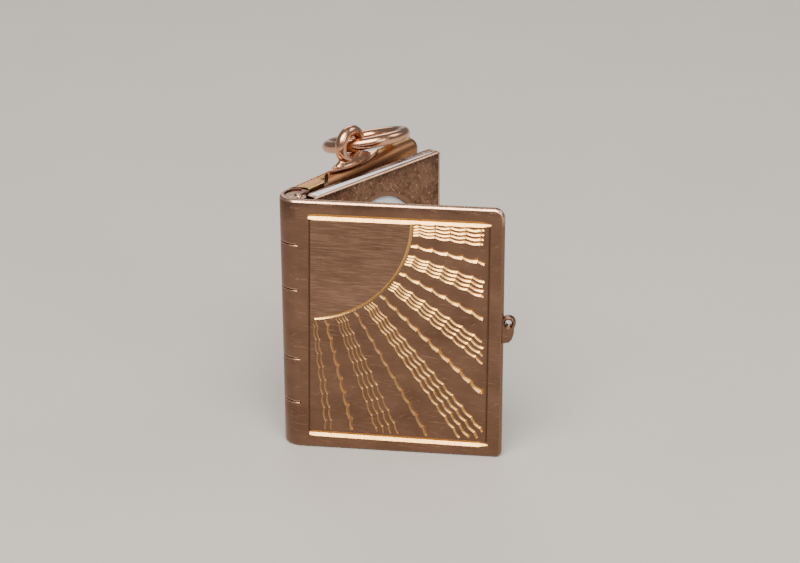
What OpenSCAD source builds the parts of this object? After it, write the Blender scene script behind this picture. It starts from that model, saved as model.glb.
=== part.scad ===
/* [Covers] */
// Height of the book along its spine
book_h = 20; // [17:0.5:26]
// Width of a cover from the hinge line to its outer edge
cover_w = 15.25; // [13:0.25:19]
// Thickness of the front cover's sheet
front_t = 0.45; // [0.35:0.05:0.5]
// Thickness of the back cover's sheet
back_t = 0.3; // [0.25:0.05:0.4]
// Radius of the covers' upper outer corners
top_corner_r = 0.8; // [0.5:0.1:1.4]
// Radius of the covers' lower outer corners
low_corner_r = 0.5; // [0.3:0.1:1]

/* [Spine] */
// Outer radius of the barrel that forms the spine
spine_r = 1.4; // [1.4:0.05:1.6]
// Wall of the barrel's knuckles
knuckle_t = 0.35; // [0.25:0.05:0.4]
// Height of the top and bottom knuckles
end_knuckle_h = 3.5; // [2.5:0.25:4]
// Height of the two back cover knuckles
back_knuckle_h = 3.6; // [2.5:0.1:4.5]
// Gap between two knuckles
knuckle_gap = 0.08; // [0.05:0.01:0.12]
// Gap between a knuckle and the cover that turns past it
spine_gap = 0.03; // [0.02:0.01:0.06]

/* [Hinge pin] */
// Radius of the pin
pin_r = 0.28; // [0.2:0.02:0.3]
// Wall of the sleeves that turn on the pin
sleeve_t = 0.28; // [0.2:0.02:0.28]
// Radial clearance between the pin and a sleeve
pin_gap = 0.03; // [0.02:0.01:0.05]
// How far the pin's ends lie inside the spine's ends
pin_inset = 0.15; // [0.1:0.05:0.5]

/* [Pose] */
// Angle between the front cover and the back cover
back_open = 60; // [30:1:75]
// Angle between the front cover and the leaf
leaf_open = 54; // [27:1:67]

/* [Leaf] */
// Distance of the leaf's outer edge from the hinge line
leaf_w = 14.5; // [12:0.25:15]
// How far the leaf stops short of the covers' upper and lower edges
leaf_inset = 0.3; // [0.2:0.05:0.6]
// Distance of the leaf's inner edge from the hinge line
leaf_start = 0.75; // [0.75:0.05:1]
// Thickness of the leaf's front plate
leaf_front_t = 0.22; // [0.18:0.02:0.26]
// Thickness of the leaf's back plate
leaf_back_t = 0.48; // [0.4:0.02:0.5]
// Width of the slot that holds the leaf's picture card
leaf_slot_t = 0.35; // [0.3:0.05:0.4]
// Thickness of the leaf's picture card
leaf_card_t = 0.29; // [0.15:0.02:0.29]
// Radius of the leaf's rolled outer edge
leaf_edge_r = 0.4; // [0.2:0.05:0.5]
// Width of the leaf's side and bottom walls
leaf_wall = 0.7; // [0.5:0.1:1]
// Size of the cut at the leaf's outer corners
leaf_corner = 0.25; // [0.15:0.05:0.4]

/* [Picture frame] */
// Thickness of the frame's plate
frame_plate_t = 0.22; // [0.18:0.02:0.3]
// Width of the frame's rim
frame_wall = 0.7; // [0.5:0.1:1]
// Thickness of the back cover's picture card
back_card_t = 0.3; // [0.15:0.05:0.4]
// Radius of the frame's rolled outer edge
frame_edge_r = 0.85; // [0.5:0.05:0.85]
// How far the frame stops short of the cover's outer edge
frame_inset = 0.1; // [0:0.05:0.3]
// Distance of the notch in the frame's top rim from the hinge line
notch_at = 3.8; // [3:0.1:4]
// Width of that notch
notch_w = 0.7; // [0.4:0.1:0.9]
// Depth of that notch
notch_d = 0.45; // [0.2:0.05:0.6]

/* [Window] */
// Metal above and below the oval window
window_margin = 2.1; // [1.9:0.1:2.6]
// Metal beside the oval window
window_side_margin = 1.7; // [1.6:0.1:2.2]
// Radius of the window's top and bottom arcs
window_end_r = 3.6; // [3:0.1:4]

/* [Engraving] */
// Width of the frame line on the front cover
line_w = 0.36; // [0.2:0.01:0.45]
// Depth of the engraved lines
line_d = 0.1; // [0.04:0.01:0.12]
// Margin outside the frame line
line_margin = 1; // [0.9:0.05:1.5]
// Distance of the frame line's left side from the hinge line
line_left = 0.7; // [0.7:0.05:1.5]
// Radius of the engraved sun
sun_r = 8; // [5:0.1:8.2]
// Distance of the sun's middle from the hinge line
sun_at = 0.47; // [0.3:0.01:0.8]
// Distance of the sun's middle below the upper edge
sun_drop = 1.3; // [1.1:0.05:1.5]
// Width of the sun's outline
sun_line_w = 0.16; // [0.1:0.01:0.25]

/* [Catch] */
// Height of the catch's middle above the bottom edge
catch_z = 11.05; // [8:0.25:13]
// Distance of the catch's hole outside the covers' edges
catch_out = 0.36; // [0.3:0.02:0.5]
// Radius of the catch's rounded top
catch_r = 0.54; // [0.5:0.01:0.65]
// Length of the catch's tapering lower part
catch_tail = 1.75; // [1.2:0.05:2.5]
// Radius of the hole in the catch
catch_hole_r = 0.33; // [0.3:0.01:0.36]
// Clearance between the catch pin and the hole
catch_gap = 0.14; // [0.1:0.01:0.16]

/* [Loop and ring] */
// Distance of the hanging loop from the hinge line
loop_at = 7.05; // [7:0.05:9]
// Radius of the loop to the middle of its wire
loop_r = 1.17; // [1.1:0.01:1.3]
// Radius of the loop's wire
loop_wire_r = 0.34; // [0.3:0.01:0.36]
// Length of the loop's pointed foot
foot_l = 6; // [4.5:0.1:6.2]
// How far the foot's middle lies outside the loop's middle
foot_side = 0.45; // [0.3:0.05:0.6]
// Width of the loop's pointed foot
foot_w = 1.3; // [0.9:0.05:1.6]
// Thickness of the loop's foot
foot_t = 0.22; // [0.15:0.01:0.35]
// Radius of the jump ring to the middle of its wire
ring_r = 2.96; // [2.8:0.02:3.1]
// Radius of the jump ring's wire
ring_wire_r = 0.35; // [0.25:0.01:0.36]
// Lean of the jump ring, low on the side behind the locket
ring_lean = 16; // [14:1:18]

/* [Hidden] */
$fn = 64;
rose = [0.72, 0.45, 0.33];
yellow = [0.78, 0.60, 0.35];
paper = [0.86, 0.88, 0.90];

// Pieces that lie on one another keep this gap
seat_gap = 0.02;
// Faces that pass each other as the book closes keep this gap
leaf_gap = 0.03;

// Depths through the closed book, measured from the hinge line towards the back
front_in = -spine_r + front_t;
leaf_front = front_in + leaf_gap;
slot_front = leaf_front + leaf_front_t;
slot_back = slot_front + leaf_slot_t;
leaf_back = slot_back + leaf_back_t;
frame_front = leaf_back + leaf_gap;
cover_in = spine_r - back_t;
frame_back = cover_in - seat_gap;

sleeve_r = pin_r + pin_gap + sleeve_t;
turn_r = spine_r + spine_gap;
// Where the five knuckles begin and end, from the bottom up
seam_z = [0, end_knuckle_h, end_knuckle_h + back_knuckle_h, book_h - end_knuckle_h - back_knuckle_h,
          book_h - end_knuckle_h, book_h];
front_knuckles = [0, 2, 4];
back_knuckles = [1, 3];

// The leaf's slot for its picture card, from its inner to its outer end
slot_start = leaf_start + leaf_wall / 2;
slot_end = leaf_w - leaf_wall;

// Inner edge of the frame, width of its picture card, and the metal left behind its notch
frame_start = turn_r + seat_gap;
card_w = cover_w - frame_inset - frame_start - 2 * frame_wall - 2 * seat_gap;
notch_wall = 0.1;
// Share of the cover's corner radius by which the frame's corners are cut
frame_cut = 0.6;

// Windows: half width and half height of the oval, and its middle
window_a = (leaf_w - leaf_start) / 2 - window_side_margin;
window_b = book_h / 2 - leaf_inset - window_margin;
window_s = (leaf_w + leaf_start) / 2;
window_end_z = window_b - window_end_r;
window_tangent_r = (window_a ^ 2 + window_end_z ^ 2 - window_end_r ^ 2) / (2 * (window_a - window_end_r));
window_joint_z = window_end_z * window_tangent_r / (window_tangent_r - window_end_r);
// The side arcs cross the end arcs at a very small angle, a hair inside the tangent
window_side_r = 0.99 * window_tangent_r;

catch_s = cover_w + catch_out;
// The catch's tail: where it leaves the round top, and its tip, as shares of the top's radius and the tail
tail_side = 0.9;
tail_top = 0.2;
tip_side = 0.3;
tip_end = 0.85;

// The loop stands in the middle of the back half's upper edge, its wire sunk into the foot
loop_z = book_h + loop_r + loop_wire_r;
rim_mid = (frame_front + spine_r) / 2;

// The jump ring's middle, measured from the loop's middle: past the ring's own radius, back, down
ring_side = 0.09;
ring_back = 0.8;
ring_drop = 0.55;
// Dip of the jump ring towards the loop
ring_dip = 3;

// The part's origin is the middle of its footprint
middle_x = (catch_s + catch_r - spine_r) / 2;
back_reach = (catch_s + catch_r) * sin(back_open) + spine_r * cos(back_open);
middle_y = (back_reach - spine_r) / 2;

// Lower end and length of a knuckle, with half a gap at each end that meets another knuckle
function knuckle_z(i) = seam_z[i] + (i == 0 ? 0 : knuckle_gap / 2);
function knuckle_l(i) = seam_z[i + 1] - (i == 4 ? 0 : knuckle_gap / 2) - knuckle_z(i);

// Stands a flat outline up as a plate between two depths
module plate(near, far) {
    translate([0, far, 0]) rotate([90, 0, 0]) linear_extrude(far - near) children();
}

// A cover's outline, with its outer corners rounded
module cover_outline() {
    difference() {
        square([cover_w, book_h]);
        translate([cover_w - top_corner_r, book_h - top_corner_r]) square(2 * top_corner_r);
        translate([cover_w - low_corner_r, -low_corner_r]) square(2 * low_corner_r);
    }
    translate([cover_w - top_corner_r, book_h - top_corner_r]) circle(top_corner_r);
    translate([cover_w - low_corner_r, low_corner_r]) circle(low_corner_r);
}

// An inner page's outline, its outer corners cut: inner and outer edge, lower and upper edge
module page_outline(start, end, low, high, low_cut, high_cut) {
    polygon([[start, low], [end - low_cut, low], [end, low + low_cut], [end, high - high_cut],
             [end - high_cut, high], [start, high]]);
}

// A page seen from above, its front edge rolled: inner and outer edge, front and back
module page_section(start, end, front, back, edge_r) {
    translate([start, front + edge_r]) square([end - start, back - front - edge_r]);
    translate([start, front]) square([end - start - edge_r, back - front]);
    translate([end - edge_r, front + edge_r]) circle(edge_r);
}

// An upright oval of four arcs
module oval() {
    for (side = [-1, 1]) translate([window_s, book_h / 2 + side * window_end_z]) circle(window_end_r);
    intersection() {
        oval_sides();
        translate([0, book_h / 2 - window_joint_z]) square([leaf_w, 2 * window_joint_z]);
    }
}

// Where the two wide arcs of the oval overlap
module oval_sides() {
    intersection_for(side = [-1, 1])
        translate([window_s + side * (window_side_r - window_a), book_h / 2])
            circle(window_side_r, $fn = 180);
}

// Half barrel shells on the hinge line, open towards the covers
module knuckle_shells(list) {
    for (i = list) translate([0, 0, knuckle_z(i)]) difference() {
        cylinder(h = knuckle_l(i), r = spine_r);
        translate([0, 0, -knuckle_gap]) cylinder(h = knuckle_l(i) + 2 * knuckle_gap, r = spine_r - knuckle_t);
        translate([0, -2 * spine_r, -knuckle_gap])
            cube([2 * spine_r, 4 * spine_r, knuckle_l(i) + 2 * knuckle_gap]);
    }
}

// Tubes on the pin, each with a web to the shell round it
module sleeves(list, web_angle) {
    for (i = list) translate([0, 0, knuckle_z(i)]) difference() {
        union() {
            cylinder(h = knuckle_l(i), r = sleeve_r);
            rotate([0, 0, web_angle]) translate([0, -sleeve_t / 2, 0])
                cube([spine_r - knuckle_t / 2, sleeve_t, knuckle_l(i)]);
        }
        translate([0, 0, -knuckle_gap]) cylinder(h = knuckle_l(i) + 2 * knuckle_gap, r = pin_r + pin_gap);
    }
}

// Room for the other cover's knuckles to turn in
module turning_room(list) {
    for (i = list) translate([0, 0, seam_z[i] - knuckle_gap / 2])
        cylinder(h = seam_z[i + 1] - seam_z[i] + knuckle_gap, r = turn_r);
}

// The catch's lug: a round top and a tail that narrows downwards
module catch_outline() {
    inner = cover_w - seat_gap;
    translate([catch_s, catch_z]) circle(catch_r);
    polygon([[inner, catch_z + catch_r / 2],
             [catch_s + tail_side * catch_r, catch_z - tail_top * catch_r],
             [catch_s + tip_side * catch_r, catch_z - tip_end * catch_tail],
             [inner, catch_z - catch_tail]]);
}

// Grooves of the front cover: a rectangle and a quarter sun in its upper corner
module engraving() {
    right = cover_w - line_margin;
    top = book_h - line_margin;
    difference() {
        translate([line_left, line_margin]) square([right - line_left, top - line_margin]);
        translate([line_left + line_w, line_margin + line_w])
            square([right - line_left - 2 * line_w, top - line_margin - 2 * line_w]);
    }
    intersection() {
        translate([line_left + line_w, line_margin + line_w])
            square([right - line_left - 2 * line_w, top - line_margin - 2 * line_w]);
        translate([sun_at, book_h - sun_drop]) difference() {
            circle(sun_r + sun_line_w / 2, $fn = 180);
            circle(sun_r - sun_line_w / 2, $fn = 180);
        }
    }
}

module front_cover() {
    color(rose) {
        difference() {
            plate(-spine_r, front_in) cover_outline();
            turning_room(back_knuckles);
            plate(-2 * spine_r, -spine_r + line_d) engraving();
        }
        difference() {
            plate(-spine_r, front_in) catch_outline();
            plate(-2 * spine_r, 0) translate([catch_s, catch_z]) circle(catch_hole_r);
        }
        knuckle_shells(front_knuckles);
        sleeves([0, 4], 225);
    }
}

// Turns a page open about the hinge line
module opened(angle) {
    rotate([0, 0, angle]) children();
}

module back_cover() {
    color(rose) opened(back_open) {
        difference() {
            plate(cover_in, spine_r) cover_outline();
            turning_room(front_knuckles);
        }
        plate(cover_in, spine_r) catch_outline();
        translate([catch_s, spine_r - back_t / 2, catch_z]) rotate([90, 0, 0])
            cylinder(h = 2 * spine_r - back_t / 2 - front_t / 2, r = catch_hole_r - catch_gap, $fn = 32);
        knuckle_shells(back_knuckles);
        sleeves(back_knuckles, 135);
        translate([loop_at, 0, book_h]) hanging_loop();
    }
}

// A round wire loop on a pointed foot that spans the cover's edge
module hanging_loop() {
    foot_arc_r = (foot_l ^ 2 / 4 + foot_w ^ 2 / 4) / foot_w;
    translate([0, rim_mid, 0]) {
        translate([0, 0, -seat_gap]) linear_extrude(foot_t + seat_gap) intersection_for(side = [-1, 1])
            translate([foot_side, side * (foot_arc_r - foot_w / 2)]) circle(foot_arc_r, $fn = 180);
        translate([0, 0, loop_z - book_h]) rotate([90, 0, 0])
            rotate_extrude() translate([loop_r, 0]) circle(loop_wire_r, $fn = 32);
    }
}

// The picture frame inside the back cover: a rim, and a plate with an oval window
module back_frame() {
    frame_w = cover_w - frame_inset;
    frame_h = book_h - 2 * seat_gap;
    color(yellow) opened(back_open) difference() {
        intersection() {
            linear_extrude(frame_h) page_section(frame_start, frame_w, frame_front, frame_back, frame_edge_r);
            plate(frame_front, frame_back)
                page_outline(frame_start, frame_w, 0, frame_h,
                             low_corner_r * frame_cut, top_corner_r * frame_cut);
        }
        translate([frame_start + frame_wall, frame_front + frame_plate_t, frame_wall])
            cube([card_w + 2 * seat_gap, frame_back, book_h - 2 * frame_wall]);
        plate(frame_front - frame_plate_t, frame_back) oval();
        translate([notch_at - notch_w / 2, frame_front - notch_wall, book_h - notch_d])
            cube([notch_w, frame_back - frame_front, 2 * notch_d]);
    }
}

module back_card() {
    card_front = frame_front + frame_plate_t + seat_gap;
    color(paper) opened(back_open)
        translate([frame_start + frame_wall + seat_gap, card_front, frame_wall + seat_gap])
            cube([card_w, back_card_t, book_h - 2 * frame_wall - 2 * seat_gap]);
}

// The leaf: two plates with oval windows, and a slot between them that is open at the top
module leaf() {
    color(yellow) opened(leaf_open) difference() {
        union() {
            difference() {
                intersection() {
                    linear_extrude(book_h)
                        page_section(leaf_start, leaf_w, leaf_front, leaf_back, leaf_edge_r);
                    plate(leaf_front, leaf_back) page_outline(leaf_start, leaf_w, leaf_inset,
                        book_h - leaf_inset, leaf_corner, leaf_corner);
                }
                translate([slot_start, slot_front, leaf_inset + leaf_wall])
                    cube([slot_end - slot_start, leaf_slot_t, book_h]);
                plate(leaf_front - leaf_front_t, leaf_back + leaf_back_t) oval();
            }
            leaf_hinge();
        }
        cylinder(h = book_h, r = pin_r + pin_gap);
    }
}

// The leaf's tube on the pin, and the strip that joins it to the leaf
module leaf_hinge() {
    length = knuckle_l(front_knuckles[1]);
    translate([0, 0, knuckle_z(front_knuckles[1])]) {
        translate([0, leaf_front / 2, 0])
            cube([slot_start, leaf_back - leaf_front / 2, length]);
        cylinder(h = length, r = sleeve_r);
    }
}

module leaf_card() {
    color(paper) opened(leaf_open)
        translate([slot_start + seat_gap, slot_front + seat_gap, leaf_inset + leaf_wall + seat_gap])
            cube([slot_end - slot_start - 2 * seat_gap, leaf_card_t,
                  book_h - 2 * leaf_inset - leaf_wall - seat_gap]);
}

module hinge_pin() {
    color(yellow) translate([0, 0, pin_inset]) cylinder(h = book_h - 2 * pin_inset, r = pin_r, $fn = 32);
}

// The jump ring passes through the loop and lies over, its far side low behind the back cover
module jump_ring() {
    color(rose) opened(back_open)
        translate([loop_at + ring_r + ring_side, rim_mid + ring_back, loop_z - ring_drop])
            rotate([-ring_lean, ring_dip, 0])
                rotate_extrude() translate([ring_r, 0]) circle(ring_wire_r, $fn = 32);
}

// Moves the hinge line so that the origin is the middle of the footprint
module placed() {
    translate([-middle_x, -middle_y, 0]) children();
}

placed() front_cover();
placed() back_cover();
placed() back_frame();
placed() back_card();
placed() leaf();
placed() leaf_card();
placed() hinge_pin();
placed() jump_ring();
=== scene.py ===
"""A book locket in rose gold: two covers on a barrel spine, a leaf with a picture card between them,
a picture frame inside the back cover, a hanging loop on the upper edge and a jump ring.

Pieces are modelled in millimetres as in the closed book: the hinge line is the z axis, the covers lie
along x, the front cover's face looks towards -y. settle() opens them and puts them in place in metres."""

import math
from types import SimpleNamespace

import bpy
from bpy.props import FloatProperty, FloatVectorProperty, IntProperty, PointerProperty
from mathutils import Euler, Matrix, Vector


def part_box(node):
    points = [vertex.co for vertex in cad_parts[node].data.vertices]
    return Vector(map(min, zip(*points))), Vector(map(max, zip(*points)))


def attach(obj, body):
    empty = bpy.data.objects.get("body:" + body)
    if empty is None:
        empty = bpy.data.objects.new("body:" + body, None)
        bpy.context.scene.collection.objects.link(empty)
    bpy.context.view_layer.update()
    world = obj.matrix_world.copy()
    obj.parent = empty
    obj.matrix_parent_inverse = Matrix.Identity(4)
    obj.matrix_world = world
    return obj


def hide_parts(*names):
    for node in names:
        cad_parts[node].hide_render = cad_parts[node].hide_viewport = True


bl_info = {
    "name": "Book locket",
    "version": (1, 0, 0),
    "blender": (4, 5, 0),
    "location": "3D View > Sidebar > Locket",
    "description": "Models a book locket with an engraved cover, a picture leaf and a jump ring",
    "category": "Add Mesh",
}

MM = 0.001
# In millimetres: how far the barrel's caps lie inside its ends, and how thick they are
END_INSET = 0.12
CAP_THICKNESS = 0.16
# The place of the catch's eye and pin: beyond the covers' outer edge, and above their lower one
CATCH_OUT = 0.36
CATCH_HEIGHT = 11.05
# How far a cutting tool reaches beyond what it cuts
OVER = 1
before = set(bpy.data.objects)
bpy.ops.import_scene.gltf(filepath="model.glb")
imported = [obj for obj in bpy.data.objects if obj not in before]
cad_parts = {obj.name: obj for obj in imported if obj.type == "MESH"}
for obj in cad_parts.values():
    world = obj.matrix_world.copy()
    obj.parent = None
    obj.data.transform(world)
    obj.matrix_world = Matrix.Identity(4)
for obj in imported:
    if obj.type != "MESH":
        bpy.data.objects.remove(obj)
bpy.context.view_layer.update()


def middle_and_size(node):
    """Middle and size of a packed node, in millimetres."""
    low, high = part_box(node)
    return (low + high) / 2 / MM, (high - low) / MM


PIN_MIDDLE, PIN_SIZE = middle_and_size("hinge_pin")
COVER_MIDDLE, COVER_SIZE = middle_and_size("front_cover")
BOOK_HEIGHT = COVER_SIZE.z
SPINE_RADIUS = PIN_MIDDLE.x - COVER_MIDDLE.x + COVER_SIZE.x / 2


def length(title, millimetres, note):
    """A length that a user can set, stored in metres."""
    return FloatProperty(name=title, description=note, default=millimetres * MM, unit="LENGTH",
                         precision=5, min=0)


def angle(title, degrees, note):
    """An angle that a user can set."""
    return FloatProperty(name=title, description=note, default=math.radians(degrees), unit="ROTATION")


def tint(title, colour, note):
    """A colour that a user can set."""
    return FloatVectorProperty(name=title, description=note, default=colour, subtype="COLOR", size=3,
                               min=0, max=1)


def watts(title, power, note):
    """The power of a light that a user can set."""
    return FloatProperty(name=title, description=note, default=power, min=0, unit="POWER")


class LocketCovers(bpy.types.PropertyGroup):
    """Sizes of the two covers and their spine"""
    height: length("Height", BOOK_HEIGHT, "Height of the covers")
    width: length("Width", 15.25, "Width of a cover from the hinge line to its outer edge")
    front_sheet: length("Front sheet", 0.45, "Thickness of the front cover")
    back_sheet: length("Back sheet", 0.3, "Thickness of the back cover")
    top_corner: length("Upper corner", 0.8, "Radius of the covers' upper outer corners")
    low_corner: length("Lower corner", 0.5, "Radius of the covers' lower outer corners")
    rim: length("Rim", 0.2, "Rounding along the covers' outer edges")
    spine: length("Spine", SPINE_RADIUS, "Outer radius of the barrel")
    shell: length("Barrel wall", 0.35, "Wall of the barrel's knuckles")
    end_knuckle: length("Top knuckle", 3.5, "Height of the top knuckle")
    low_knuckle: length("Bottom knuckle", 3.72, "Height of the bottom knuckle")
    back_knuckle: length("Back knuckle", 3.6, "Height of the back cover's knuckles")
    seam: length("Seam", 0.055, "Gap between two knuckles")
    sleeve: length("Sleeve", 0.59, "Outer radius of the tubes that turn on the pin")
    bore: length("Bore", 0.31, "Radius of the hole for the pin")
    pin: length("Pin", PIN_SIZE.x / 2, "Radius of the hinge pin")
    opening: angle("Opening", 60, "Angle between the two covers")


class LocketPages(bpy.types.PropertyGroup):
    """Sizes of the leaf and of the picture frame inside the back cover"""
    leaf_start: length("Leaf start", 0.75, "Distance of the leaf's inner edge from the hinge line")
    leaf_end: length("Leaf end", 14.5, "Distance of the leaf's outer edge from the hinge line")
    leaf_inset: length("Leaf inset", 0.3, "How far the leaf stops short of the covers' edges")
    leaf_front: length("Leaf front", 0.48, "Depth of the leaf's front behind the front of the book")
    leaf_depth: length("Leaf thickness", 1.05, "Thickness of the leaf")
    leaf_roll: length("Leaf roll", 0.4, "Radius of the leaf's rolled outer edge")
    frame_start: length("Frame start", 0.85, "Distance of the frame's inner end from the hinge line")
    frame_end: length("Frame end", 15.15, "Distance of the frame's outer edge from the hinge line")
    frame_front: length("Frame front", 1.56, "Depth of the frame's front behind the front of the book")
    frame_depth: length("Frame thickness", 0.92, "Thickness of the frame")
    frame_roll: length("Frame roll", 0.8, "Radius of the frame's rolled edges")
    strip_end: length("Strip end", 3.3, "Distance of the flat strip's outer end from the hinge line")
    window_width: length("Window width", 10.55, "Width of the oval windows")
    window_height: length("Window height", 15.5, "Height of the oval windows")
    window_at: length("Window middle", 7.625, "Distance of the windows' middle from the hinge line")
    opening: angle("Leaf opening", 54, "Angle between the front cover and the leaf")


class LocketEngraving(bpy.types.PropertyGroup):
    """Sizes of the sunburst cut into the front cover"""
    sun_radius: length("Sun radius", 8.04, "Radius of the plain quarter sun")
    sun_at: length("Sun middle", 0.467, "Distance of the sun's middle from the hinge line")
    sun_height: length("Sun height", 18.7, "Height of the sun's middle above the bottom edge")
    frame_cut: length("Frame line", 0.23, "Half the width of the frame line above and below")
    side_cut: length("Frame side", 0.085, "Half the width of the frame line's sides")
    arc_cut: length("Sun line", 0.1, "Half the width of the sun's outline")
    single_cut: length("Single ray", 0.165, "Half the width of a ray that stands by itself")
    band_cut: length("Band ray", 0.105, "Half the width of the rays in a band")
    stroke: length("Stroke", 1.115, "Length of one wavy stroke of a ray")
    wave: length("Wave", 0.12, "How far a stroke sags between its two ends")
    steepness: FloatProperty(name="Steepness", description="Depth of a line over half its width",
                             default=0.7, min=0.3, max=1.2)
    bands: IntProperty(name="Bands", description="Number of whole bands of four rays", default=5, min=1)


class LocketRing(bpy.types.PropertyGroup):
    """Sizes of the hanging loop and the jump ring"""
    loop_at: length("Loop place", 7.05, "Distance of the hanging loop from the hinge line")
    loop_depth: length("Loop depth", 2.18, "Depth of the loop's middle behind the front of the book")
    loop_radius: length("Loop radius", 1.1, "Radius of the loop to the middle of its wire")
    loop_wire: length("Loop wire", 0.44, "Radius of the loop's wire")
    foot_length: length("Foot length", 6, "Length of the loop's pointed foot")
    foot_width: length("Foot width", 1.3, "Width of the loop's pointed foot")
    foot_side: length("Foot side", 0.45, "How far the foot's middle lies outside the loop's middle")
    ring_radius: length("Ring radius", 2.96, "Radius of the jump ring to the middle of its wire")
    ring_wire: length("Ring wire", 0.46, "Radius of the jump ring's wire")
    ring_at: length("Ring place", 9.99, "Distance of the ring's middle from the hinge line")
    ring_depth: length("Ring depth", 2.98, "Depth of the ring's middle behind the front of the book")
    ring_height: length("Ring height", 20.96, "Height of the ring's middle")
    lean: angle("Lean", -16.5, "Lean of the jump ring to the back")
    dip: angle("Dip", 5, "Dip of the jump ring towards the loop")


class LocketMetals(bpy.types.PropertyGroup):
    """Colours of the metals and the picture cards"""
    # rose and dull are darker than the metal: painted shade for the dark surroundings the covers reflect.
    # bright is the lit copy of the same gold: partly rubbed wear, partly painted highlight.
    rose: tint("Rose gold", (0.225, 0.127, 0.084), "The covers' satin rose gold")
    dull: tint("Dull rose gold", (0.145, 0.08, 0.052), "The same gold where it is worn dull")
    bright: tint("Bright rose gold", (0.8, 0.5, 0.33), "Rose gold rubbed bright, and its painted highlights")
    # cut is a light copy of the engraved lines' gold, a painted highlight on the lines that catch the
    # light; the steep rays' copy is darker, painted shade where they turn away from the light.
    cut: tint("Cut gold", (0.8, 0.49, 0.18), "Rose gold in the engraved lines")
    shaded_steep_cut: tint("Shaded steep cut gold", (0.48, 0.29, 0.13), "Rose gold in the steep engraved lines")
    # The frame line's sides are painted dark: painted shade, as where the face turns into the spine.
    shaded_side_cut: tint("Shaded side cut gold", (0.15, 0.085, 0.045), "Rose gold in the frame line's sides")
    yellow: tint("Yellow gold", (0.4, 0.19, 0.055), "The picture frame's yellower gold")
    wire: tint("Wire gold", (0.72, 0.4, 0.25), "The loop's and the jump ring's polished gold")
    # frame_edge is a light copy of the yellow gold: partly rubbed wear, partly painted highlight.
    frame_edge: tint("Frame edge gold", (0.85, 0.55, 0.24), "The same gold along its rubbed edge, with painted highlight")
    frame_roll: tint("Frame roll gold", (0.38, 0.18, 0.085), "The frame's rolled edges")
    olive: tint("Olive gold", (0.38, 0.22, 0.05), "Yellow gold where it is tarnished")
    leaf: tint("Leaf gold", (0.24, 0.133, 0.086), "The leaf's polished gold")
    # shade is a real stain in the leaf's mottle and the frame's tarnish, and a painted shadow on the leaf
    # window's wall.
    shade: tint("Dark gold", (0.07, 0.035, 0.02), "Gold that is stained dark, and painted shadow")
    worn: tint("Worn gold", (0.26, 0.20, 0.17), "Gold that is worn grey")
    card: tint("Card", (0.70, 0.77, 0.84), "The picture cards' pale paper")


class LocketStudio(bpy.types.PropertyGroup):
    """The camera, the light and the floor"""
    focal: FloatProperty(name="Focal length", description="Focal length of the camera in millimetres",
                         default=101.74, min=10)
    key: watts("Key light", 3.3, "Power of the large light above the front")
    side: watts("Side light", 0.3, "Power of the light on the right")
    back: watts("Back light", 0.38, "Power of the light behind")
    far_side: watts("Far side light", 0.3, "Power of the light behind on the right")
    sky: FloatProperty(name="Sky", description="Strength of the even light from all sides",
                       default=0.25, min=0)
    floor: tint("Floor", (0.5, 0.5, 0.5), "The plain floor")


GROUPS = {"covers": LocketCovers, "pages": LocketPages, "engraving": LocketEngraving,
          "ring": LocketRing, "metals": LocketMetals, "studio": LocketStudio}


def sizes(group):
    """The values of one group, with its lengths in millimetres."""
    values = {}
    settings = getattr(bpy.context.scene, "locket_" + group)
    for prop in settings.bl_rna.properties:
        if prop.type in ("FLOAT", "INT"):
            value = getattr(settings, prop.identifier)
            values[prop.identifier] = value / MM if prop.unit == "LENGTH" else value
    return SimpleNamespace(**values)


# Modelling


def pick(*pieces):
    """Leaves object mode's selection on these pieces alone, the first one active."""
    if bpy.context.object and bpy.context.object.mode != "OBJECT":
        bpy.ops.object.mode_set(mode="OBJECT")
    bpy.ops.object.select_all(action="DESELECT")
    for piece in pieces:
        piece.select_set(True)
    if pieces:
        bpy.context.view_layer.objects.active = pieces[0]


def placed(name, data):
    """A new object in the scene."""
    thing = bpy.data.objects.new(name, data)
    bpy.context.scene.collection.objects.link(thing)
    return thing


def named(name):
    """The new piece, under its name and with its place in its mesh."""
    piece = bpy.context.object
    piece.name = name
    bpy.ops.object.transform_apply()
    return piece


def block(name, low, high):
    """A block between two corners."""
    pick()
    bpy.ops.mesh.primitive_cube_add(size=1, location=[(a + b) / 2 for a, b in zip(low, high)],
                                    scale=[b - a for a, b in zip(low, high)])
    return named(name)


def drum(name, radius, low, high, at=(0, 0), sides=96):
    """An upright cylinder."""
    pick()
    bpy.ops.mesh.primitive_cylinder_add(vertices=sides, radius=radius, depth=high - low,
                                        location=(at[0], at[1], (low + high) / 2))
    return named(name)


def pin(name, radius, near, far, at, sides=48):
    """A cylinder through the book, from one depth to another."""
    pick()
    bpy.ops.mesh.primitive_cylinder_add(vertices=sides, radius=radius, depth=far - near,
                                        location=(at[0], (near + far) / 2, at[1]),
                                        rotation=(math.pi / 2, 0, 0))
    return named(name)


def turned(piece, turn):
    """Turns a piece about the hinge line."""
    piece.rotation_euler.z = turn
    pick(piece)
    bpy.ops.object.transform_apply()
    return piece


def combine(piece, tool, operation="DIFFERENCE"):
    """Cuts the tool out of the piece, or joins or crosses them."""
    pick(piece)
    change = piece.modifiers.new("Combine", "BOOLEAN")
    change.object = tool
    change.operation = operation
    change.solver = "MANIFOLD"
    change.material_mode = "TRANSFER"
    bpy.ops.object.modifier_apply(modifier=change.name)
    mesh = tool.data
    bpy.data.objects.remove(tool)
    bpy.data.meshes.remove(mesh)
    if not piece.data.polygons:
        raise RuntimeError(f"nothing is left of {piece.name}")
    return piece


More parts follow.
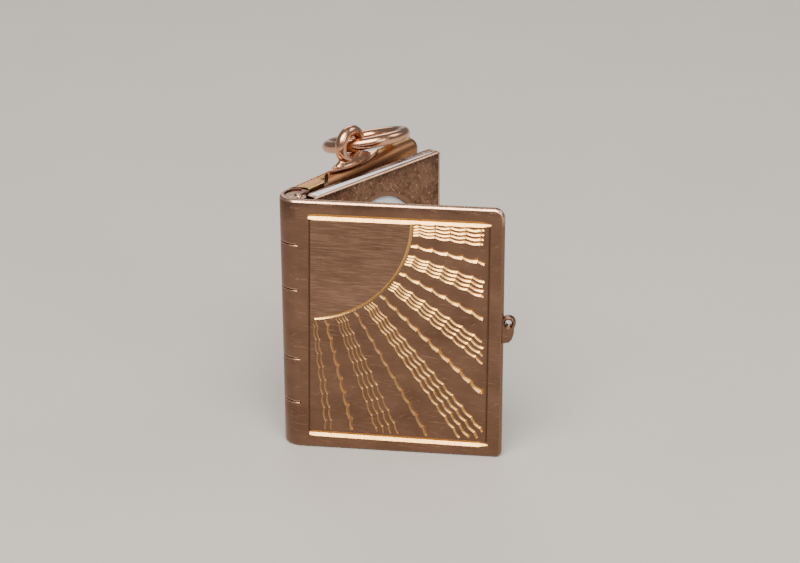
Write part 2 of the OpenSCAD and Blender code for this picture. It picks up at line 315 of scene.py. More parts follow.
def edges_picked(piece, test):
    """Goes into edit mode with the edges picked whose two ends pass the test."""
    pick(piece)
    mesh = piece.data
    for part in (mesh.vertices, mesh.edges, mesh.polygons):
        part.foreach_set("select", [False] * len(part))
    found = 0
    for edge in mesh.edges:
        edge.select = bool(test(*(mesh.vertices[i].co for i in edge.vertices)))
        found += edge.select
    if not found:
        raise RuntimeError(f"no edge to work on in {piece.name}")
    bpy.context.tool_settings.mesh_select_mode = (False, True, False)
    bpy.ops.object.mode_set(mode="EDIT")


def soften(piece, width, segments, test, material=-1, profile=0.5):
    """Rounds the edges whose two ends pass the test; a lower profile is flatter."""
    edges_picked(piece, test)
    bpy.ops.mesh.bevel(offset=width, segments=segments, profile=profile, material=material,
                       clamp_overlap=True)
    bpy.ops.object.mode_set(mode="OBJECT")
    return piece


def near(value, target, slack=0.002):
    """True where a place is the one meant."""
    return abs(value - target) < slack


def lying(**places):
    """A test for edges whose two ends lie at these places."""
    return lambda *ends: all(near(getattr(end, axis), place)
                             for end in ends for axis, place in places.items())


def level(a, b):
    """A test for level edges."""
    return near(a.z, b.z)


def soften_face(piece, depth, width, segments, material=-1, profile=0.5):
    """Rounds the outline of the face at one depth, but not where it meets the spine."""
    return soften(piece, width, segments, material=material, profile=profile, test=lambda a, b: (
        lying(y=depth)(a, b) and not (near(a.x, b.x) and a.x < 0.3)))


def slice_up(piece, step):
    """Cuts the piece's faces into a grid, so that no face has too many corners once it is engraved."""
    pick(piece)
    size = piece.dimensions
    bpy.ops.object.mode_set(mode="EDIT")
    for axis in (0, 2):
        for i in range(1, math.ceil(size[axis] / step)):
            at, normal = [0, 0, 0], [0, 0, 0]
            at[axis], normal[axis] = i * step, 1
            bpy.ops.mesh.select_all(action="SELECT")
            bpy.ops.mesh.bisect(plane_co=at, plane_no=normal, threshold=1e-5)
    bpy.ops.object.mode_set(mode="OBJECT")
    return piece


def coat(piece, *materials):
    """Gives the piece its materials."""
    for material in materials:
        piece.data.materials.append(material)
    return piece


def merge(piece, *others):
    """Makes several pieces one."""
    pick(piece, *others)
    bpy.ops.object.join()
    return piece


def settle(piece, node, body, opening=0.0):
    """Opens a finished piece about the hinge line, puts it in place and gives it to its body."""
    crease = 32
    pick(piece)
    piece.rotation_euler.z = opening
    piece.location = Vector((PIN_MIDDLE.x, PIN_MIDDLE.y, 0)) * MM
    piece.scale = (MM, MM, MM)
    bpy.ops.object.transform_apply()
    bpy.ops.object.shade_smooth_by_angle(angle=math.radians(crease))
    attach(piece, body)
    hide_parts(node)
    piece.name = "made_" + node


# Materials


def node(tree, kind, inputs=None, **settings):
    """Adds a node; inputs are values or the sockets that feed it."""
    made = tree.nodes.new("ShaderNode" + kind)
    for key, value in settings.items():
        setattr(made, key, value)
    for key, value in (inputs or {}).items():
        if isinstance(value, bpy.types.NodeSocket):
            tree.links.new(value, made.inputs[key])
        else:
            made.inputs[key].default_value = value
    return made


def page_place(tree, opening=0.0):
    """Places on a page in millimetres, as in the closed book."""
    place = node(tree, "TexCoord").outputs["Object"]
    return node(tree, "Mapping", {
        "Vector": place, "Location": Vector((PIN_MIDDLE.x, PIN_MIDDLE.y, 0)) * MM,
        "Rotation": (0, 0, opening), "Scale": (MM, MM, MM)}, vector_type="TEXTURE").outputs[0]


def grain(tree, place, fineness, turn=(0, 0, 0), detail=4, roughness=0.55):
    """Noise, turned as a whole, whose fineness is one number or one for each direction."""
    if not isinstance(fineness, tuple):
        fineness = (fineness,) * 3
    spread = node(tree, "Mapping", {"Vector": place, "Rotation": turn,
                                    "Scale": [1 / f for f in fineness]}, vector_type="TEXTURE")
    return node(tree, "TexNoise", {"Vector": spread.outputs[0], "Scale": 1.0, "Detail": detail,
                                   "Roughness": roughness}).outputs["Fac"]


def span(tree, value, low, high, to_low=0.0, to_high=1.0):
    """Spreads the values between two limits over another range, and holds them there."""
    return node(tree, "MapRange", {"Value": value, "From Min": low, "From Max": high,
                                   "To Min": to_low, "To Max": to_high}).outputs[0]


def reckon(tree, operation, first, second):
    """Arithmetic on two values."""
    made = node(tree, "Math", operation=operation)
    for socket, value in zip(made.inputs, (first, second)):
        if isinstance(value, bpy.types.NodeSocket):
            tree.links.new(value, socket)
        else:
            socket.default_value = value
    return made.outputs[0]


def plus(tree, first, second):
    """The sum of two values."""
    return reckon(tree, "ADD", first, second)


def minus(tree, first, second):
    """The first value less the second."""
    return reckon(tree, "SUBTRACT", first, second)


def times(tree, first, second):
    """The product of two values."""
    return reckon(tree, "MULTIPLY", first, second)


def larger(tree, first, *others):
    """The largest of some values."""
    for other in others:
        first = reckon(tree, "MAXIMUM", first, other)
    return first


def blended(tree, share, first, second):
    """One colour or the other, by the share of the second."""
    made = node(tree, "Mix", data_type="RGBA")
    for socket, value in ((made.inputs[0], share), (made.inputs[6], first), (made.inputs[7], second)):
        if isinstance(value, bpy.types.NodeSocket):
            tree.links.new(value, socket)
        elif isinstance(value, float):
            socket.default_value = value
        else:
            socket.default_value = (*value, 1)
    return made.outputs[2]


def scratches(tree, place, turn, length, width, amount):
    """Fine straight scratches on a page's faces, turned away from level by an angle."""
    lines = grain(tree, place, (1 / length, 1, 1 / width), (0, turn, 0), detail=2)
    return span(tree, lines, 0.66 - 0.1 * amount, 0.74 - 0.1 * amount)


def pits(tree, place, spacing, radius):
    """Small round pits, 1 at their middle and 0 outside."""
    cells = node(tree, "TexVoronoi", {"Vector": place, "Scale": 1 / spacing, "Randomness": 1.0})
    return span(tree, cells.outputs["Distance"], 0.0, radius / spacing, 1.0, 0.0)


def rubbed(tree, colour, bright, *shares):
    """A colour under scratches, pits or streaks, painted lighter there: real marks, with painted glints
    where they catch the light.
    """
    for share in shares:
        colour = blended(tree, share, colour, bright)
    return colour


def new_material(name):
    """A new material and its nodes."""
    material = bpy.data.materials.new(name)
    material.use_nodes = True
    return material, material.node_tree


def on_page(name, opening=0.0):
    """A new material, its nodes, its places on a page, and the colours that a user can set."""
    material, tree = new_material(name)
    return material, tree, page_place(tree, opening), sizes("metals")


def finish(material, colour, roughness, height, depth, metallic=1.0):
    """Feeds a material's shader and hands it on; depth is the relief's height in millimetres."""
    tree = material.node_tree
    shader = tree.nodes["Principled BSDF"]
    shader.inputs["Metallic"].default_value = metallic
    relief = node(tree, "Bump", {"Height": height, "Strength": 1.0, "Distance": depth * MM})
    for socket, value in (("Base Color", colour), ("Roughness", roughness),
                          ("Normal", relief.outputs[0])):
        tree.links.new(value, shader.inputs[socket])
    return material


def satin_gold(opening):
    """The covers' satin gold, a little cloudy, with fine scratches every way and a few pits."""
    material, tree, place, m = on_page("Satin rose gold", opening)
    clouds = grain(tree, place, 0.35, detail=5)
    fine = grain(tree, place, 9, detail=3, roughness=0.7)
    lines = larger(tree, scratches(tree, place, 0.35, 2.1, 0.06, 0.1),
                   scratches(tree, place, -0.9, 1.3, 0.06, -0.2),
                   scratches(tree, place, 1.7, 0.8, 0.06, -0.3))
    specks = pits(tree, place, 1.3, 0.07)
    colour = blended(tree, span(tree, clouds, 0.35, 0.68), m.dull, m.rose)
    # Scratches and pits are painted lighter: real marks, with painted glints.
    colour = rubbed(tree, colour, m.bright, times(tree, lines, 0.14), specks)
    height = plus(tree, times(tree, fine, 0.6), times(tree, plus(tree, lines, specks), -0.5))
    rough = span(tree, plus(tree, clouds, times(tree, fine, 0.4)), 0.45, 0.95, 0.3, 0.46)
    return finish(material, colour, rough, height, 0.007)


def engraved_gold():
    """The front cover's face: level brushing on the sun, satin with short scratches round it."""
    e = sizes("engraving")
    material, tree, place, m = on_page("Engraved rose gold")
    from_sun = node(tree, "Mapping", {"Vector": place, "Scale": (1, 0, 1),
                                      "Location": (-e.sun_at, 0, -e.sun_height)}).outputs[0]
    radius = node(tree, "VectorMath", {0: from_sun}, operation="LENGTH").outputs["Value"]
    outside = span(tree, radius, e.sun_radius - 0.02, e.sun_radius + 0.02)
    parts = node(tree, "SeparateXYZ", {"Vector": place})
    for axis, low, high in (("X", 0.92, 0.82), ("Y", 0.1 - SPINE_RADIUS, 0.2 - SPINE_RADIUS),
                            ("Z", e.sun_height, e.sun_height + 0.1)):
        outside = larger(tree, outside, span(tree, parts.outputs[axis], low, high))
    clouds = grain(tree, place, (0.3, 0.3, 0.45), detail=5)
    brushing = grain(tree, place, (0.6, 1, 16), (0, 0.03, 0), detail=5, roughness=0.65)
    cross = grain(tree, place, (0.7, 1, 9), (0, -0.35, 0), detail=4, roughness=0.65)
    fine = grain(tree, place, 7, detail=3, roughness=0.7)
    field = plus(tree, times(tree, cross, 0.35), times(tree, fine, 0.5))
    lines = larger(tree, scratches(tree, place, 0.12, 1.6, 0.07, 0.3),
                   scratches(tree, place, -0.6, 0.9, 0.06, 0.0))
    specks = pits(tree, place, 1.9, 0.07)
    colour = blended(tree, span(tree, clouds, 0.3, 0.7), m.dull, m.rose)
    # Inside the sun the brushing streaks are painted lighter: real brushing, with painted sheen.
    # Scratches and pits are painted lighter too: real marks, with painted glints.
    streaks = times(tree, span(tree, brushing, 0.45, 0.74, 0.0, 0.3), minus(tree, 1.0, outside))
    colour = rubbed(tree, colour, m.bright, streaks, times(tree, lines, 0.2), specks)
    surface = node(tree, "Mix", {0: outside, 2: brushing, 3: field}).outputs[0]
    height = minus(tree, surface, times(tree, plus(tree, lines, specks), 0.5))
    rough = span(tree, clouds, 0.3, 0.7, 0.3, 0.42)
    return finish(material, colour, rough, height, 0.008)


def bright_gold(name, opening=0.0, roughness=0.2, colour=None):
    """Gold cut by the graver, rubbed or polished, with tool marks; its default colour is the lit copy of
    the rose gold, partly a painted highlight.
    """
    material, tree, place, m = on_page(name, opening)
    marks = grain(tree, place, 5, detail=3)
    clouds = grain(tree, place, 0.8, detail=4)
    colour = blended(tree, span(tree, clouds, 0.3, 0.75, 0.0, 0.35), colour or m.bright, m.rose)
    rough = span(tree, marks, 0.3, 0.7, roughness, roughness + 0.14)
    return finish(material, colour, rough, marks, 0.002)


def rim_gold(name, opening=0.0):
    """The covers' edges: lighter along the top and at the knuckle rims, partly rubbed wear and partly a
    painted highlight, and dull elsewhere.
    """
    material, tree, place, m = on_page(name, opening)
    parts = node(tree, "SeparateXYZ", {"Vector": place}).outputs
    marks = grain(tree, place, 4, detail=3)
    clouds = grain(tree, place, 0.6, detail=4)
    # Painted highlight: the top edge and the knuckles' rims are painted lighter where light from above
    # catches them, on top of real rubbing.
    upper = span(tree, parts["Z"], BOOK_HEIGHT - 1.4, BOOK_HEIGHT - 0.3)
    knuckles = times(tree, span(tree, parts["X"], 0.1, 0.0), span(tree, parts["Z"], 1, 1.1))
    share = times(tree, larger(tree, upper, times(tree, knuckles, 0.55)),
                  span(tree, clouds, 0.3, 0.6, 0.8, 1.0))
    rough = span(tree, marks, 0.3, 0.7, 0.22, 0.34)
    return finish(material, rubbed(tree, m.rose, m.bright, share), rough, marks, 0.002)


def top_gold(name, opening):
    """The yellow gold of the pages' sawn and filed upper edges, drawn along the page."""
    material, tree, place, m = on_page(name, opening)
    file_marks = grain(tree, place, (0.4, 6, 1), detail=4, roughness=0.65)
    clouds = grain(tree, place, 0.9, detail=4)
    colour = blended(tree, span(tree, clouds, 0.35, 0.7), m.olive, m.yellow)
    rough = span(tree, file_marks, 0.3, 0.7, 0.34, 0.5)
    return finish(material, colour, rough, file_marks, 0.006)


def yellow_gold(opening):
    """The frame's yellower gold, with soft brown tarnish."""
    material, tree, place, m = on_page("Yellow gold", opening)
    clouds = grain(tree, place, (0.35, 0.35, 0.2), detail=5)
    fine = grain(tree, place, (7, 7, 2), detail=3, roughness=0.7)
    colour = blended(tree, span(tree, clouds, 0.38, 0.66), m.shade, m.yellow)
    rough = span(tree, clouds, 0.3, 0.7, 0.22, 0.34)
    return finish(material, colour, rough, fine, 0.004)


def leaf_gold(opening):
    """The leaf's polished gold, mottled by wear, scratched every way."""
    material, tree, place, m = on_page("Mottled leaf gold", opening)
    clouds = grain(tree, place, 0.45, detail=6, roughness=0.65)
    spots = grain(tree, place, 3.2, detail=4, roughness=0.65)
    lines = larger(tree, scratches(tree, place, 0.9, 1.5, 0.07, 0.45),
                   scratches(tree, place, -1.1, 1.1, 0.07, 0.4))
    mottle = plus(tree, times(tree, clouds, 0.6), times(tree, spots, 0.5))
    colour = blended(tree, span(tree, mottle, 0.42, 0.62, 0.1, 1.0), m.shade, m.leaf)
    # Scratches and pits are painted lighter: real marks, with painted glints.
    colour = rubbed(tree, colour, m.bright, times(tree, lines, 0.38), pits(tree, place, 0.48, 0.085))
    rough = span(tree, mottle, 0.4, 0.7, 0.36, 0.2)
    return finish(material, colour, rough, minus(tree, spots, times(tree, lines, 0.6)), 0.011)


def card_paper(opening, name):
    """Pale smooth card with faint fibres and foxing."""
    material, tree, place, m = on_page(name, opening)
    fibres = grain(tree, place, (3, 8, 8), (0.2, 0.5, 0), detail=5, roughness=0.7)
    stains = grain(tree, place, 0.3, detail=4)
    colour = blended(tree, span(tree, stains, 0.35, 0.75), m.card, [0.86 * c for c in m.card])
    colour = blended(tree, span(tree, fibres, 0.55, 0.8, 0.0, 0.3), colour, (0.8, 0.84, 0.86))
    rough = span(tree, fibres, 0.3, 0.7, 0.5, 0.7)
    return finish(material, colour, rough, fibres, 0.004, metallic=0.0)


def floor_cloth():
    """The plain pale floor."""
    s = sizes("studio")
    material, tree = new_material("Pale floor")
    shader = tree.nodes["Principled BSDF"]
    place = node(tree, "TexCoord").outputs["Object"]
    tone = grain(tree, place, 60, detail=3)
    colour = blended(tree, span(tree, tone, 0.3, 0.7), s.floor, [0.97 * c for c in s.floor])
    tree.links.new(colour, shader.inputs["Base Color"])
    shader.inputs["Roughness"].default_value = 0.75
    return material


# Parts that the two covers share


def seams(c):
    """Heights at which the five knuckles meet."""
    return [0, c.low_knuckle, c.low_knuckle + c.back_knuckle,
            c.height - c.end_knuckle - c.back_knuckle, c.height - c.end_knuckle, c.height]


def knuckle(c, i):
    """Lower and upper end of a knuckle."""
    low, high = seams(c)[i], seams(c)[i + 1]
    return low + (c.seam / 2 if i > 0 else 0), high - (c.seam / 2 if i < 4 else 0)


def cover_sheet(c, near_side, far_side, face, materials):
    """A cover's sheet with rounded corners and a rim rounded towards its outer face."""
    sheet = coat(block("sheet", (0, near_side, 0), (c.width, far_side, c.height)), *materials)
    for radius, height in ((c.top_corner, c.height), (c.low_corner, 0)):
        soften(sheet, radius, 8, lying(x=c.width, z=height))
    soften_face(sheet, face, c.rim, 4, material=1, profile=0.36)
    return soften_face(sheet, near_side + far_side - face, 0.06, 2, material=1)


def with_turning_room(c, sheet, rooms):
    """Cuts the notches in which the other cover's knuckles turn."""
    for i in rooms:
        low, high = seams(c)[i] - c.seam / 2, seams(c)[i + 1] + c.seam / 2
        combine(sheet, drum("room", c.spine + 0.004, low, high, sides=180))
    return sheet


def with_knuckles(c, sheet, knuckles, sleeves, web_angle, materials):
    """Adds the half barrel shells, and the tubes on the pin with their webs."""
    for i in knuckles:
        low, high = knuckle(c, i)
        shell = coat(drum("shell", c.spine - 0.012, low, high, sides=180), *materials)
        for end in (low, high):
            width, profile = (c.rim, 0.36) if end in (0, c.height) else (0.09, 0.5)
            soften(shell, width, 4, lying(z=end), material=1, profile=profile)
        combine(shell, drum("hollow", c.spine - c.shell, low - OVER, high + OVER))
        combine(shell, block("open side", (0.04, -2 * c.spine, low - OVER),
                             (2 * c.spine, 2 * c.spine, high + OVER)))
        if i in (0, 4):
            cap_low = low + END_INSET if i == 0 else high - END_INSET - CAP_THICKNESS
            cap = coat(drum("cap", c.spine - 0.1, cap_low, cap_low + CAP_THICKNESS), *materials)
            soften(cap, 0.04, 2, level, material=1)
            for turn in (0, math.radians(62)):
                quarter = block("quarter", (0, -2 * c.spine, low - OVER), (2 * c.spine, 0, high + OVER))
                combine(cap, turned(quarter, turn))
            combine(shell, cap, "UNION")
        if i in sleeves:
            half, short = 0.14, 0.2
            web = block("web", (0, -half, low + short), (c.spine - c.shell / 2, half, high - short))
            turned(web, web_angle)
            inset = END_INSET + CAP_THICKNESS / 2
            ends = (low + (inset if i == 0 else 0), high - (inset if i == 4 else 0))
            tube = combine(coat(drum("tube", c.sleeve, *ends), *materials), web, "UNION")
            soften(tube, 0.04, 2, material=1, test=lambda a, b: (
                level(a, b) and near(a.xy.length, c.sleeve) and near(b.xy.length, c.sleeve)))
            combine(shell, tube, "UNION")
            combine(shell, drum("bore", c.bore, low - OVER, high + OVER))
        combine(sheet, shell, "UNION")
    return sheet


def flat_curve(name, lines, closed=False, **settings):
    """A flat curve along lines of points (x, z) or (x, z, half width)."""
    curve = bpy.data.curves.new(name, "CURVE")
    curve.dimensions = "2D"
    for key, value in settings.items():
        setattr(curve, key, value)
    for points in lines:
        line = curve.splines.new("POLY")
        line.points.add(len(points) - 1)
        line.use_cyclic_u = closed
        for point, (x, z, *half_width) in zip(line.points, points):
            point.co = (x, z, 0, 1)
            if half_width:
                point.radius = half_width[0]
    return curve


def lug(c, near_side, far_side, hole, materials):
    """The catch's egg-shaped lug on a cover's outer edge, rounded all over."""
    middle, height = c.width + CATCH_OUT, CATCH_HEIGHT
    radius, root, soft = 0.54, c.width - 0.12, 0.12
    outline = [(root, height - 1.64), (root, height + 0.3)]
    outline += [(middle + radius * math.cos(math.radians(t)), height + radius * math.sin(math.radians(t)))
                for t in range(130, -41, -10)]
    outline += [(middle + out, height - down)
                for out, down in ((0.42, 0.72), (0.37, 1.0), (0.25, 1.3), (0.06, 1.53))]
    curve = flat_curve("lug", [outline], closed=True, fill_mode="BOTH", bevel_depth=soft, offset=-soft,
                       bevel_resolution=3, extrude=(far_side - near_side) / 2 - soft)
    tab = coat(meshed(curve, "lug", (near_side + far_side) / 2), *materials)
    if hole:
        eye = 0.25
        hole_tool = pin("eye", eye, near_side - OVER, far_side + OVER, (middle, height))
        combine(tab, coat(hole_tool, materials[1]))
        pick()
        bpy.ops.mesh.primitive_cone_add(vertices=48, radius1=eye - 0.01, radius2=0.42, depth=0.24,
                                        rotation=(math.pi / 2, 0, 0),
                                        location=(middle, near_side + 0.06, height))
        combine(tab, coat(named("countersink"), materials[1]))
    return tab


def meshed(curve, name, depth):
    """Makes a flat curve a mesh that stands at a depth in the book."""
    flat = placed(name, curve)
    flat.rotation_euler.x = math.pi / 2
    flat.location.y = depth
    pick(flat)
    bpy.ops.object.convert(target="MESH")
    solid = named(name)
    bpy.ops.object.mode_set(mode="EDIT")
    bpy.ops.mesh.select_all(action="SELECT")
    bpy.ops.mesh.remove_doubles(threshold=0.0005)
    bpy.ops.mesh.normals_make_consistent(inside=False)
    bpy.ops.object.mode_set(mode="OBJECT")
    return solid


# Engraving


def ray(e, angle_down, half_width, swell):
    """Points of one wavy ray and the line's half width at each: short sagging strokes, cut deeper
    towards their ends by the share that it swells, up to the edges of the engraved field."""
    left, right, low = 1.14, 13.82, 1.52
    start, first_cusp = e.sun_radius + 0.16, e.sun_radius + 0.62
    shares_of_stroke = (0.035, 0.17, 0.33, 0.5, 0.59, 0.67, 0.83, 1)
    points = []
    for stroke in range(-1, 12):
        for share in shares_of_stroke:
            radius = first_cusp + (stroke + share) * e.stroke
            if radius < start:
                continue
            turn = angle_down + e.wave / radius * math.sin(math.pi * share)
            x, z = e.sun_at + radius * math.cos(turn), e.sun_height - radius * math.sin(turn)
            if x > right or z < low:
                return points
            if x > left:
                spread = 0.92 + 0.05 * (radius - start)
                points.append((x, z, half_width * spread * (1.1 - swell * (1 - share ** 2))))
    return points


def engraved_lines(e):
    """The engraved lines as points with half widths: those that catch the light, the steep rays, and
    the frame's two sides. Angles are degrees below level."""
    tip = 0.07
    first, last, arc_steps = 1.3, 84.4, 60
    band_pitch, ray_pitch, single_pitch, first_single, steep_from = 16.55, 1.57, 16.475, 12.1, 58
    bright = [[(0.92, 18.78, e.frame_cut - tip), (1.3, 18.78, e.frame_cut), (13.6, 18.77, e.frame_cut),
               (14.28, 18.77, tip)],
              [(0.7, 1.22, e.frame_cut - tip), (1.1, 1.21, e.frame_cut), (13.5, 1.06, e.frame_cut),
               (14.2, 1.05, tip)]]
    sides = [[(1.0, 18.6, e.side_cut), (0.68, 1.4, e.side_cut)],
             [(14.16, 18.6, e.side_cut), (14.08, 1.25, e.side_cut)]]
    steep = []
    turns = [math.radians(last + (first - last) * step / arc_steps) for step in range(arc_steps + 1)]
    bright.append([(e.sun_at + e.sun_radius * math.cos(turn),
                    e.sun_height - e.sun_radius * math.sin(turn), e.arc_cut) for turn in turns])
    rays = [(first + band_pitch * band + ray_pitch * i, e.band_cut)
            for band in range(e.bands) for i in range(4)]
    rays += [(first_single + single_pitch * band, e.single_cut) for band in range(e.bands)]
    rays += [(83.2, e.band_cut), (84.7, e.band_cut)]
    for degrees, half_width in rays:
        turn = math.radians(degrees)
        is_steep = degrees > steep_from
        is_single = half_width == e.single_cut
        swell = 0.55 if is_steep or is_single else 0.3
        half_width *= 1 - (0.15 if is_single else 0.3 if is_steep else 0.45) * math.sin(turn) ** 2
        (steep if is_steep else bright).append(ray(e, turn, half_width, swell))
    return bright, steep, sides


def graver_marks(e, face, lines, material):
    """A tool shaped like some engraved lines: a V along each of them."""
    lift = 0.5
    edge = ((0, -e.steepness), (1 + lift, lift * e.steepness), (-1 - lift, lift * e.steepness))
    graver = placed("graver", flat_curve("graver", [edge], closed=True, fill_mode="NONE"))
    marks = flat_curve("marks", lines, fill_mode="NONE", bevel_mode="OBJECT", bevel_object=graver,
                       use_fill_caps=True)
    tool = coat(meshed(marks, "marks", face), material)
    bpy.data.objects.remove(graver)
    return tool


# The pieces


class LOCKET_OT_front_cover(bpy.types.Operator):
    """Models the engraved front cover with its knuckles and catch"""
    bl_idname = "locket.front_cover"
    bl_label = "Front cover"

    def execute(self, context):
        c, e, m = map(sizes, ("covers", "engraving", "metals"))
        face, inside = -c.spine, -c.spine + c.front_sheet
        materials = (engraved_gold(), rim_gold("Rubbed front edge with painted highlight"))
        cover = slice_up(cover_sheet(c, face, inside, face, materials), 1.37)
        # Each set of lines gets its own copy of the gold: a light one (painted highlight) for the lines
        # that catch the light, a darker one (painted shade) for the steep rays, a dark one (painted
        # shade) for the frame line's sides.
        golds = (("Bright cut gold", 0.24, m.cut), ("Shaded steep cut gold", 0.3, m.shaded_steep_cut),
                 ("Shaded side cut gold", 0.4, m.shaded_side_cut))
        for lines, (name, roughness, colour) in zip(engraved_lines(e), golds):
            gold = bright_gold(name, 0, roughness, colour)
            combine(cover, graver_marks(e, face, lines, gold))
        with_turning_room(c, cover, (1, 3))
        with_knuckles(c, cover, (0, 2, 4), (0, 4), math.radians(225), materials)
        combine(cover, lug(c, face, inside + 0.15, True, materials), "UNION")
        settle(cover, "front_cover", "front")
        return {"FINISHED"}


class LOCKET_OT_back_cover(bpy.types.Operator):
    """Models the back cover with its knuckles, catch pin and hanging loop"""
    bl_idname = "locket.back_cover"
    bl_label = "Back cover and loop"

    def execute(self, context):
        c = sizes("covers")
        face, inside = c.spine, c.spine - c.back_sheet
        materials = (satin_gold(c.opening), rim_gold("Rubbed back edge with painted highlight", c.opening))
        cover = cover_sheet(c, inside, face, face, materials)
        with_turning_room(c, cover, (0, 2, 4))
        with_knuckles(c, cover, (1, 3), (1, 3), math.radians(135), materials)
        combine(cover, lug(c, inside, face, False, materials), "UNION")
        post = coat(pin("catch pin", 0.19, -c.spine + c.front_sheet / 2, face - c.back_sheet / 2,
                        (c.width + CATCH_OUT, CATCH_HEIGHT), sides=32), *materials)
        soften(post, 0.1, 4, lambda a, b: a.y < -0.5 and b.y < -0.5, material=1)
        combine(cover, post, "UNION")
        cover = merge(cover, hanging_loop(c, sizes("ring")))
        settle(cover, "back_cover", "back", c.opening)
        return {"FINISHED"}


def hanging_loop(c, r):
    """The round wire loop on its pointed foot, with solder flowed into the joint."""
    depth = r.loop_depth - c.spine
    foot_thick, sunk, around_loop = 0.27, 0.02, 9
    pick()
    bpy.ops.mesh.primitive_torus_add(major_radius=r.loop_radius, minor_radius=r.loop_wire,
                                     major_segments=96, minor_segments=32, rotation=(math.pi / 2, 0, 0),
                                     location=(r.loop_at, depth, c.height + r.loop_radius + r.loop_wire))
    loop = coat(named("loop"), bright_gold("Polished loop gold", c.opening, 0.16, sizes("metals").wire))
    arc = (r.foot_length ** 2 + r.foot_width ** 2) / (4 * r.foot_width)
    foot = None
    for side in (-1, 1):
        disc = drum("foot", arc, c.height - sunk, c.height + foot_thick,
                    (r.loop_at + r.foot_side, depth + side * (arc - r.foot_width / 2)), sides=256)
        foot = combine(foot, disc, "INTERSECT") if foot else disc
    soften(foot, 0.12, 3, lying(z=c.height + foot_thick))
    combine(loop, foot, "UNION")
    pick()
    bpy.ops.mesh.primitive_uv_sphere_add(segments=48, ring_count=24, radius=1,
                                         location=(r.loop_at + 0.3, depth, c.height + 0.05),
                                         scale=(2.1, 0.58, 0.8))
    combine(loop, named("solder"), "UNION")
    combine(loop, block("below", (r.loop_at - around_loop, -around_loop, c.height - around_loop),
                        (r.loop_at + around_loop, around_loop, c.height - sunk)))
    remesh = loop.modifiers.new("Flow", "REMESH")
    remesh.mode = "VOXEL"
    remesh.voxel_size = 0.045
    smooth = loop.modifiers.new("Round", "SMOOTH")
    smooth.factor = 0.5
    smooth.iterations = 6
    pick(loop)
    for name in ("Flow", "Round"):
        bpy.ops.object.modifier_apply(modifier=name)
    return loop


def tray(start, end, front, back, high, roll, materials):
    """A page whose front edges are all rolled to the back, but for its inner one."""
    page = coat(block("page", (start, front, 0), (end, back, high)), *materials)
    soften(page, roll, 10, material=2, test=lambda a, b: (
        lying(y=front)(a, b) and not near(max(a.x, b.x), start) or lying(x=end)(a, b) and level(a, b)))
    return soften_face(page, back, 0.05, 2, material=1)


def oval_tool(p, levels):
    """A tool that cuts an oval window; levels are depths with how much wider the oval is there."""
    half = (p.window_width / 2, p.window_height / 2)
    middle = Vector((p.window_at, levels[0][0], BOOK_HEIGHT / 2))
    pick()
    bpy.ops.mesh.primitive_circle_add(vertices=128, radius=1, fill_type="NGON", location=middle,
                                      rotation=(math.pi / 2, 0, 0))
    tool = named("oval")
    bpy.ops.object.mode_set(mode="EDIT")
    bpy.ops.mesh.select_all(action="SELECT")
    bpy.ops.transform.resize(value=(half[0] + levels[0][1], 1, half[1] + levels[0][1]),
                             center_override=middle)
    for (depth, more), (next_depth, next_more) in zip(levels, levels[1:]):
        bpy.ops.mesh.extrude_region_move(TRANSFORM_OT_translate={"value": (0, next_depth - depth, 0)})
        middle.y = next_depth
        bpy.ops.transform.resize(value=((half[0] + next_more) / (half[0] + more), 1,
                                        (half[1] + next_more) / (half[1] + more)),
                                 center_override=middle)
    bpy.ops.mesh.select_all(action="SELECT")
    bpy.ops.mesh.normals_make_consistent(inside=False)
    bpy.ops.object.mode_set(mode="OBJECT")
    return tool


def page_blank(start, end, front, back, low, high, roll, corner, rim, materials):
    """A page with a rolled front outer edge, round outer corners and a softened rim."""
    plate = coat(block("page", (start, front, low), (end, back, high)), *materials)
    soften(plate, corner, 6, lambda a, b: lying(x=end)(a, b) and level(a, b))
    soften_face(plate, front, rim, 3, material=1, profile=0.36)
    soften_face(plate, back, rim / 2, 2, material=1)
    rolled = coat(block("rolled", (start - OVER, front, low - OVER), (end, back + OVER, high + OVER)),
                  *materials)
    soften(rolled, roll, 12, lying(x=end, y=front), material=2)
    return combine(plate, rolled, "INTERSECT")


def coat_top(piece, height, material_index, depth):
    """Gives the level faces along the upper edge, behind a depth, another of the piece's materials."""
    for face in piece.data.polygons:
        if face.normal.z > 0.95 and near(face.center.z, height, 0.05) and face.center.y > depth:
            face.material_index = material_index
    return piece


def wedge(name, start, end, inner, outer, low, high):
    """A block whose thickness narrows from its inner to its outer end."""
    piece = block(name, (start, inner[0], low), (end, inner[1], high))
    pick(piece)
    for vertex in piece.data.vertices:
        if near(vertex.co.x, end):
            vertex.co.y = outer[0] if near(vertex.co.y, inner[0]) else outer[1]
    return piece


